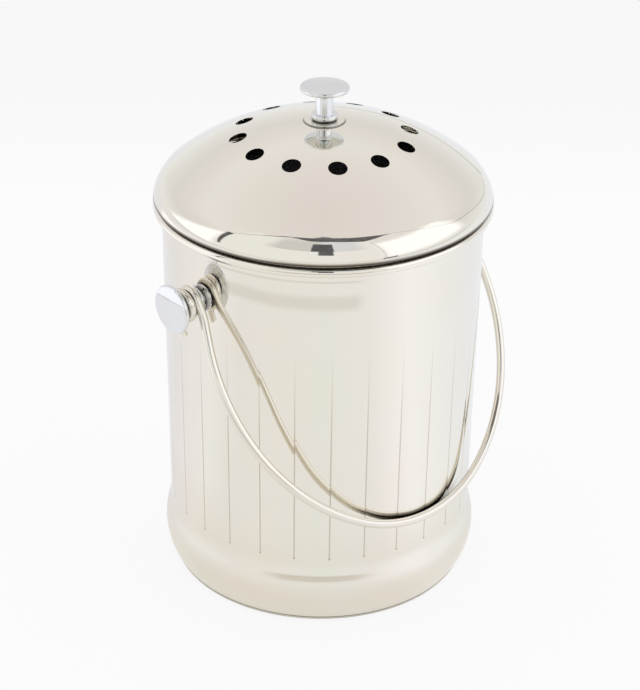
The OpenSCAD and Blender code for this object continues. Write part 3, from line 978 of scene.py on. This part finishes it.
class BuildLid(bpy.types.Operator):
    """Builds the vented dome and its locating ring"""

    bl_idname = "compost_pail.build_lid"
    bl_label = "Lid"

    def execute(self, context):
        settings = context.scene.compost_pail
        s, sheet = settings.lid, settings.pail.sheet
        skin = finishes()
        outside, under = lid_profile(s, sheet)
        dome = lathe("lid_dome_pressed", under + outside, even_angles(256), 35)
        tree, ids = vent_tree()
        dome_z = dome_curves(s)[1]
        tilt = math.asin(s.vent_ring / s.dome_radius)
        values = {
            "Count": s.vents,
            "Ring Radius": s.vent_ring,
            "Vent Radius": s.vent_radius,
            "Tilt": tilt,
            "Turn": s.vent_turn,
            "Height": dome_z + s.dome_radius * math.cos(tilt),
            "Material": skin["lid"],
        }
        dome = grow(dome, tree, ids, values)
        dome_normals(dome, s, sheet)
        dress(dome, "lid", skin["lid"], ["lid_dome"])
        coat(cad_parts["lid_collar"], skin["steel"])
        return {"FINISHED"}


def vent_tree():
    """Cuts a ring of round vents square through a dome."""
    labels = ("Ring Radius", "Vent Radius", "Tilt", "Turn", "Height")
    tree, given, end, ids = geometry_tree(
        "Vent ring", {"Count": INTEGER, **{n: FLOAT for n in labels}, "Material": MATERIAL}
    )
    drill = add(
        tree,
        "GeometryNodeMeshCylinder",
        {"Vertices": 64, "Radius": given["Vent Radius"], "Depth": 12 * MM},
        fill_type="NGON",
    )
    index = tree.nodes.new("GeometryNodeInputIndex").outputs[0]
    points = add(tree, "GeometryNodePoints", {"Count": given["Count"]})
    step = calc(tree, "DIVIDE", 2 * math.pi, given["Count"])
    angle = plus(tree, times(tree, index, step), given["Turn"])
    x = times(tree, calc(tree, "SINE", angle), given["Ring Radius"])
    y = times(tree, calc(tree, "COSINE", angle), given["Ring Radius"], -1.0)
    place = add(tree, "ShaderNodeCombineXYZ", {0: x, 1: y, 2: given["Height"]})
    inputs = {"Geometry": points.outputs[0], "Position": place.outputs[0]}
    placed = add(tree, "GeometryNodeSetPosition", inputs).outputs[0]
    spin = add(tree, "ShaderNodeCombineXYZ", {0: given["Tilt"], 2: angle}).outputs[0]
    inputs = {"Points": placed, "Instance": drill.outputs["Mesh"], "Rotation": spin}
    cutters = add(tree, "GeometryNodeInstanceOnPoints", inputs)
    real = add(tree, "GeometryNodeRealizeInstances", {"Geometry": cutters.outputs[0]})
    inputs = {"Mesh 1": given["Geometry"], "Mesh 2": real.outputs[0]}
    cut = add(tree, "GeometryNodeMeshBoolean", inputs, operation="DIFFERENCE", solver="EXACT")
    finish_tree(tree, end, cut.outputs[0], given["Material"])
    return tree, ids


def dome_normals(obj, s, sheet):
    """True dome normals on every corner of the faces that lie on the dome's outer and inner
    spheres; the other faces keep their smooth shading.
    """
    mesh = obj.data
    smooth(obj, 35)
    _, dome_z, join = dome_curves(s)
    split = math.cos(math.radians(join)) * s.dome_radius
    co = np.zeros(len(mesh.vertices) * 3)
    mesh.vertices.foreach_get("co", co)
    co = co.reshape(-1, 3)
    radius = np.hypot(co[:, 0], co[:, 1])
    away = np.sqrt(radius**2 + (co[:, 2] - dome_z) ** 2)
    normals = np.zeros((len(mesh.loops), 3))
    tolerance = 0.03 * MM
    for poly in mesh.polygons:
        ids = list(poly.vertices)
        for shell in (s.dome_radius, s.dome_radius - sheet):
            if all(abs(away[i] - shell) < tolerance and radius[i] < split + 1 * MM for i in ids):
                sign = 1.0 if shell == s.dome_radius else -1.0
                for loop, i in zip(poly.loop_indices, ids):
                    normals[loop] = sign * (co[i] - (0, 0, dome_z)) / away[i]
    mesh.normals_split_custom_set([tuple(n) for n in normals])


# ---------------------------------------------------------------- the filter


class BuildFilter(bpy.types.Operator):
    """Builds the filter holder and its charcoal pad"""

    bl_idname = "compost_pail.build_filter"
    bl_label = "Filter"

    def execute(self, context):
        skin = finishes()
        coat(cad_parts["filter_holder"], skin["plastic"])
        low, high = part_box("charcoal_filter")
        radius, thick = high.x, high.z - low.z
        edge = 1.6 * MM
        lift, flat = 0.12 * thick, radius - edge
        profile = [(0.0, low.z)]
        profile += arc((flat, low.z + edge), edge, -90, 0, 8)
        profile += arc((flat, high.z - lift - edge), edge, 0, 76, 8)
        r0, z0 = profile[-1]
        profile += [(r0 * t, high.z - (high.z - z0) * t**2.4) for t in np.linspace(1, 0, 16)[1:]]
        pad = lathe("charcoal_pad", profile, even_angles(160), 40)
        dress(pad, "filter", skin["felt"], ["charcoal_filter"])
        return {"FINISHED"}


# ---------------------------------------------------------------- the stage


def bearings(tree, vector, azimuth):
    """A direction's turn from the camera's side and its rise above level, in degrees."""
    x, y, z = split(tree, vector)
    turn = calc(tree, "WRAP", minus(tree, heading(tree, x, y), azimuth), math.pi, -math.pi)
    rise = calc(tree, "ARCSINE", z)
    return calc(tree, "DEGREES", turn), calc(tree, "DEGREES", rise), (x, y)


def panel(tree, turn, rise, sides, heights, soft):
    """One inside a patch of the tent, given in degrees, with soft edges."""
    edges = []
    for value, (low, high) in ((turn, sides), (rise, heights)):
        edges.append(ramp(tree, value, low - soft, low + soft))
        edges.append(fade(tree, value, high - soft, high + soft))
    return times(tree, *edges)


TABLE_HALF = 6.0
# shares of its own light that the table shows to the camera and to reflections
TABLE_OWN, TABLE_SHINE = 0.82, 0.75
TENT_SEEN = (0.95, 0.95, 0.95)
# turn from the camera's side in degrees, and the table's colour there, painted light and shade that
# reflections show
TABLE_ROUND = (
    (-180, (0.88, 0.90, 0.97)),
    (-120, (0.89, 0.89, 0.92)),
    (-98, (0.97, 0.955, 0.98)),
    (-78, (1.0, 1.0, 1.0)),
    (-55, (0.925, 0.915, 0.90)),
    (-28, (0.945, 0.925, 0.89)),
    (0, (0.925, 0.93, 0.90)),
    (30, (0.965, 0.955, 0.955)),
    (58, (1.12, 1.11, 1.15)),
    (90, (1.02, 1.04, 1.07)),
    (120, (0.95, 0.975, 1.03)),
    (180, (0.90, 0.93, 1.0)),
)
# patches of painted light and shade on the table, shown in reflections: turns in degrees, distances
# in millimetres, softness, strength, colour
TABLE_PATCHES = (
    ((-80, 25), (443, 462), 5.0, 0.7, (0.70, 0.68, 0.62)),
    ((-126, -62), (484, 2000), 4.0, 1.0, (1.28, 1.28, 1.3)),
    ((-110, -62), (478.5, 482.5), 1.5, 0.7, (0.3, 0.3, 0.32)),
)
# rise above level in degrees, and the cloth's colour there
CLOTH_RISE = (
    (0, (0.90, 0.90, 0.90)),
    (9, (0.86, 0.85, 0.845)),
    (21, (0.80, 0.78, 0.77)),
    (32, (0.845, 0.81, 0.80)),
    (43, (0.895, 0.87, 0.86)),
    (62, (0.865, 0.82, 0.81)),
    (90, (0.82, 0.765, 0.75)),
)
# the gap under the tent's top: turn, rise of its middle and half its height, in degrees
GAP_PATH = (
    (-180, 37, 0.5), (-77, 37, 0.7), (-72, 45, 0.7), (-62, 58, 0.8), (-49, 67, 1.6),
    (-40, 71.5, 3), (-29, 71.5, 4.5), (-13, 70.5, 7.5), (0, 70.8, 8), (10, 70.6, 7.8),
    (27, 68.5, 8.6), (39, 66, 9.8), (50, 65.5, 7.5), (57, 64.5, 5.5), (65, 63, 3),
    (77, 60.3, 0.8), (87, 49, 0.7), (103, 24, 0.6), (116, 18, 0.5), (140, 3, 0.4), (180, 1, 0.3),
)
# the lens opening in two steps and a streak to its right: turns, rises and softness
DARK_PANELS = (
    ((-8.6, 8.2), (36, 56), 0.5),
    ((-3, 7.6), (26, 37), 0.5),
    ((39, 49), (5.3, 7.6), 0.4),
)


def table_material(tone, azimuth):
    """White table that shows as its own colour and keeps the pail's shadow; to reflections it shows
    painted light and shade.
    """
    material = bpy.data.materials.new("White table")
    material.use_nodes = True
    tree = material.node_tree
    tree.nodes.clear()
    where = tree.nodes.new("ShaderNodeTexCoord").outputs["Object"]
    turn, _, (x, y) = bearings(tree, where, azimuth)
    wide = calc(tree, "ABSOLUTE", turn)
    away = diagonal(tree, x, y)
    # near the pail a painted shade makes the light warmer and darker, past the paper's edges it is
    # warm or white
    nearby = blend(tree, ramp(tree, wide, 70.0, 125.0), (0.86, 0.815, 0.735), (0.79, 0.78, 0.79))
    round_about = graph(tree, turn, -180.0, 180.0, TABLE_ROUND)
    toned = blend(tree, fade(tree, away, 95 * MM, 190 * MM, 0.6), round_about, nearby)
    away_mm = times(tree, away, 1000.0)
    for sides, reach, soft, strength, shade in TABLE_PATCHES:
        part = times(tree, panel(tree, turn, away_mm, sides, reach, soft), strength)
        toned = blend(tree, part, toned, shade)
    # painted shade on the table towards the camera, shown in reflections
    far = times(tree, ramp(tree, away, 500 * MM, 900 * MM), fade(tree, wide, 20.0, 44.0))
    toned = blend(tree, far, toned, (0.60, 0.55, 0.47))
    depth = times(tree, away, calc(tree, "COSINE", calc(tree, "RADIANS", turn)))
    nearer = ramp(tree, depth, -800 * MM, -350 * MM)
    own = blend(tree, nearer, (0.966, 0.966, 0.966), (1.02, 1.013, 1.02))
    path = tree.nodes.new("ShaderNodeLightPath").outputs
    seen = path["Is Camera Ray"]
    shine = calc(tree, "MAXIMUM", path["Is Glossy Ray"], path["Is Transmission Ray"])
    matt = add(tree, "ShaderNodeBsdfDiffuse", {"Color": (*tone, 1)})
    glow = add(tree, "ShaderNodeEmission", {"Color": blend(tree, seen, toned, own)})
    part = plus(tree, times(tree, seen, TABLE_OWN), times(tree, shine, TABLE_SHINE))
    mixed = add(tree, "ShaderNodeMixShader", {0: part, 1: matt.outputs[0], 2: glow.outputs[0]})
    add(tree, "ShaderNodeOutputMaterial", {"Surface": mixed.outputs[0]})
    return material


def tent_gap(tree, look, turn, rise):
    """Where the dark gap under the tent's top lies, and its streaky dark colour."""
    middle = level(tree, turn, -180.0, 180.0, [(at, up / 90) for at, up, _ in GAP_PATH])
    half = level(tree, turn, -180.0, 180.0, [(at, part / 90) for at, _, part in GAP_PATH])
    off = off_by(tree, calc(tree, "DIVIDE", rise, 90.0), middle)
    gap = fade(tree, minus(tree, off, half), -0.004, 0.004)
    depth = ramp(tree, calc(tree, "ABSOLUTE", turn), 60.0, 78.0, 0.93, 0.55)
    streak = ramp(tree, noise(tree, look, 26, 3.0, (1, 1, 5)), 0.35, 0.75)
    ink = blend(tree, streak, (0.05, 0.05, 0.055), (0.16, 0.155, 0.17))
    return times(tree, gap, ramp(tree, turn, -79.0, -77.0), depth), ink


def tent_world(azimuth):
    """Soft white tent with the seams and panels that polished metal shows."""
    world = bpy.data.worlds.new("Soft tent")
    bpy.context.scene.world = world
    world.use_nodes = True
    tree = world.node_tree
    tree.nodes.clear()
    look = tree.nodes.new("ShaderNodeTexCoord").outputs["Generated"]
    turn, rise, _ = bearings(tree, look, azimuth)
    wide = calc(tree, "ABSOLUTE", turn)
    # front wall, its grey middle, and the bright side walls
    front = panel(tree, turn, rise, (-72, 42), (-30, 62), 1.0)
    cloth = blend(tree, front, graph(tree, rise, 0.0, 90.0, CLOTH_RISE), (0.935, 0.925, 0.905))
    grey = panel(tree, turn, rise, (-40, 31), (30, 64), 7.0)
    shade = blend(tree, ramp(tree, turn, -3, 3), (0.69, 0.68, 0.665), (0.77, 0.78, 0.82))
    cloth = blend(tree, times(tree, grey, ramp(tree, rise, 35.0, 37.0)), cloth, shade)
    tilted = minus(tree, rise, times(tree, plus(tree, turn, 82.0), 0.78))
    left = panel(tree, turn, tilted, (-133, -76), (-60, 33), 5.0)
    left = times(tree, left, ramp(tree, rise, 2.0, 6.0))
    right = panel(tree, turn, rise, (42, 104), (8, 46), 5.0)
    cloth = blend(tree, calc(tree, "MAXIMUM", left, right), cloth, (1.22, 1.22, 1.24))
    gap, ink = tent_gap(tree, look, turn, rise)
    cloth = blend(tree, gap, cloth, ink)
    # the fold at the left corner and the dark panels
    up = minus(tree, rise, 11.0)
    fold = calc(tree, "ABSOLUTE", plus(tree, turn, 71.2, times(tree, up, 0.13)))
    fold = minus(tree, fold, plus(tree, times(tree, up, 0.05), 1.1))
    dark = panel(tree, fold, rise, (-60, 0), (11, 41), 0.7)
    for sides, heights, soft in DARK_PANELS:
        dark = calc(tree, "MAXIMUM", dark, panel(tree, turn, rise, sides, heights, soft))
    cloth = blend(tree, times(tree, dark, 0.95), cloth, ink)
    # the skyline all round, the right corner's seam, and the dark room low in front
    skyline = off_by(tree, rise, ramp(tree, wide, 0.0, 110.0, 6.5, 1.2))
    skyline = times(tree, fade(tree, skyline, 0.2, 0.8, 0.5), fade(tree, wide, 108.0, 118.0))
    corner = times(tree, panel(tree, turn, rise, (40.6, 41.9), (8, 52), 0.5), 0.4)
    cloth = blend(tree, calc(tree, "MAXIMUM", skyline, corner), cloth, (0.35, 0.34, 0.33))
    low = times(tree, fade(tree, wide, 20.0, 44.0), fade(tree, rise, 0.0, 6.0))
    cloth = blend(tree, low, cloth, (0.68, 0.63, 0.56))
    seen = tree.nodes.new("ShaderNodeLightPath").outputs["Is Camera Ray"]
    shown = blend(tree, seen, cloth, TENT_SEEN)
    glow = add(tree, "ShaderNodeBackground", {"Color": shown})
    add(tree, "ShaderNodeOutputWorld", {"Surface": glow.outputs[0]})


class BuildStage(bpy.types.Operator):
    """Sets the table, the light and the camera"""

    bl_idname = "compost_pail.build_stage"
    bl_label = "Stage"

    def execute(self, context):
        scene = context.scene
        settings = scene.compost_pail
        tone, s = settings.finish.table, settings.stage
        signs = ((-1, -1), (1, -1), (1, 1), (-1, 1))
        corners = [(x * TABLE_HALF, y * TABLE_HALF, 0) for x, y in signs]
        table = mesh_object("table", corners, [(0, 1, 2, 3)])
        table.data.materials.append(table_material(tone, s.azimuth))
        tent_world(s.azimuth)
        camera = bpy.data.objects.new("camera", bpy.data.cameras.new("camera"))
        scene.collection.objects.link(camera)
        scene.camera = camera
        camera.data.lens = s.lens
        camera.data.sensor_width = 36.0
        camera.data.clip_start, camera.data.clip_end = 0.05, 20.0
        turn = Matrix.Rotation(s.azimuth, 3, "Z")
        aim = turn @ Matrix.Rotation(-s.yaw, 3, "Z")
        ahead = aim @ Vector((0, math.cos(s.pitch), -math.sin(s.pitch)))
        right = aim @ Vector((1, 0, 0))
        above = right.cross(ahead)
        tilted_right = math.cos(s.roll) * right + math.sin(s.roll) * above
        tilted_up = math.cos(s.roll) * above - math.sin(s.roll) * right
        axes = Matrix((tilted_right, tilted_up, -ahead)).transposed().to_4x4()
        spot = turn @ Vector((0, -s.distance, s.height))
        camera.matrix_world = Matrix.Translation(spot) @ axes
        scene.view_settings.view_transform = "Standard"
        return {"FINISHED"}


# ---------------------------------------------------------------- panel and registration


class PailPanel(bpy.types.Panel):
    """Lists the steps that build the compost pail"""

    bl_idname = "VIEW3D_PT_compost_pail"
    bl_label = "Compost Pail"
    bl_space_type = "VIEW_3D"
    bl_region_type = "UI"
    bl_category = PANEL_CATEGORY

    def draw(self, context):
        column = self.layout.column()
        for step in STEPS:
            column.operator(step.bl_idname, text=step.bl_label)
        settings = context.scene.compost_pail
        for group in GROUPS:
            box = self.layout.box()
            box.label(text=group.title())
            for key in getattr(settings, group).bl_rna.properties.keys():
                if key not in ("rna_type", "name"):
                    box.prop(getattr(settings, group), key)


STEPS = (BuildStage, BuildPail, BuildKnobs, BuildFixings, BuildBail, BuildLid, BuildFilter)
GROUPS = ("pail", "flutes", "lid", "knob", "bail", "finish", "stage")
CLASSES = (
    PailSizes,
    FluteSizes,
    LidSizes,
    KnobSizes,
    BailSizes,
    FinishColours,
    StageSettings,
    PailSettings,
    *STEPS,
    PailPanel,
)


def register():
    """Registers the settings, the steps and the panel."""
    for item in CLASSES:
        bpy.utils.register_class(item)
    bpy.types.Scene.compost_pail = bpy.props.PointerProperty(type=PailSettings)


def unregister():
    """Takes away what register added."""
    del bpy.types.Scene.compost_pail
    for item in reversed(CLASSES):
        bpy.utils.unregister_class(item)


def main():
    """Builds every piece."""
    register()
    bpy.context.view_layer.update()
    for step in STEPS:
        group, name = step.bl_idname.split(".")
        getattr(getattr(bpy.ops, group), name)()


if __name__ == "__main__":
    main()
